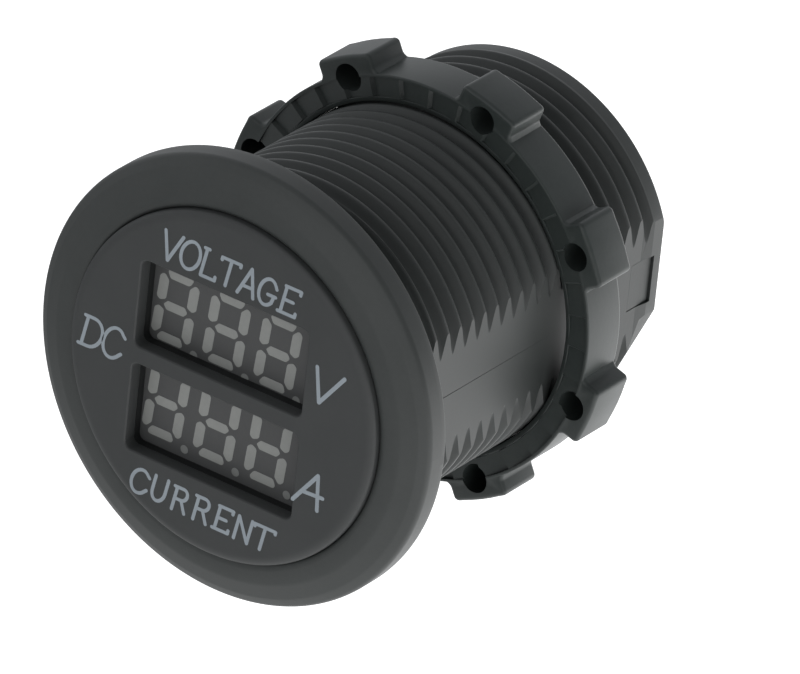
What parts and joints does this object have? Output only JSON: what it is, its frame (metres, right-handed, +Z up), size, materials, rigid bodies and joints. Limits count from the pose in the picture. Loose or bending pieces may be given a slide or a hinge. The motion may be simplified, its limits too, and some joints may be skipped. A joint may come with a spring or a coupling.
{
  "type": "panel-mount dc volt and ammeter",
  "caption": "Round panel-mount DC voltmeter and ammeter head with two stacked LED readouts, a threaded barrel with flats, a lugged ring nut and rear spade terminals.",
  "frame": {"origin": "on the barrel's axis, at the rear face of the flange, which is the face that rests on the panel", "axes": "+X to the right of someone reading the face, +Y backwards along the barrel, +Z up when the legends are upright"},
  "size_m": [0.0372, 0.0468, 0.0372],
  "materials": {
    "housing_plastic": "satin moulded black plastic",
    "plate_plastic": "fine matte black plastic with grey legends",
    "holder_plastic": "matte black",
    "display_shell": "smooth dark grey face",
    "segment_resin": "milky grey, unlit",
    "board_laminate": "green solder mask",
    "tinned_metal": "tinned",
    "screw_steel": "zinc plated",
    "chip_plastic": "matte black epoxy",
    "resistor_ceramic": "dark glazed",
    "capacitor_ceramic": "tan ceramic",
    "shunt_alloy": "bare copper-manganese alloy",
    "capacitor_can": "sleeved can",
    "cap_plastic": "satin moulded black plastic",
    "terminal_brass": "tinned brass",
    "nut_plastic": "satin moulded black plastic"
  },
  "bodies": {
    "meter": {"housing": "housing_plastic", "face_plate": "plate_plastic", "display_holder": "holder_plastic", "voltage_display": "display_shell", "voltage_segments": "segment_resin", "current_display": "display_shell", "current_segments": "segment_resin", "display_pins": "tinned_metal", "display_board": "board_laminate", "board_screws": "screw_steel", "board_link_header": "chip_plastic", "board_link_pins": "tinned_metal", "controller_chip": "chip_plastic", "controller_leads": "tinned_metal", "chip_resistors": "resistor_ceramic", "chip_capacitors": "capacitor_ceramic", "power_board": "board_laminate", "shunt_bar": "shunt_alloy", "input_capacitor": "capacitor_can", "capacitor_leads": "tinned_metal", "voltage_regulator": "chip_plastic", "regulator_leads": "tinned_metal", "protection_diode": "chip_plastic", "diode_leads": "tinned_metal", "rear_cap": "cap_plastic", "supply_terminal": "terminal_brass", "load_terminal": "terminal_brass", "ground_terminal": "terminal_brass"},
    "nut_carrier": {"nut_thread": "nut_plastic"},
    "nut": {"ring_nut": "nut_plastic"}
  },
  "joints": [
    {"name": "nut_travel", "type": "slide", "parent": "meter", "child": "nut_carrier", "axis": [0, 1, 0], "range_m": [-0.02, 0.0085]},
    {"name": "nut_turn", "type": "hinge", "parent": "nut_carrier", "child": "nut", "pos_m": [0, 0.0232, 0], "axis": [0, 1, 0], "range_deg": [-4320, 1800]}
  ],
  "couplings": [
    {"joint": "nut_travel", "follows": "nut_turn", "m_per_rad": 0.00025465}
  ]
}
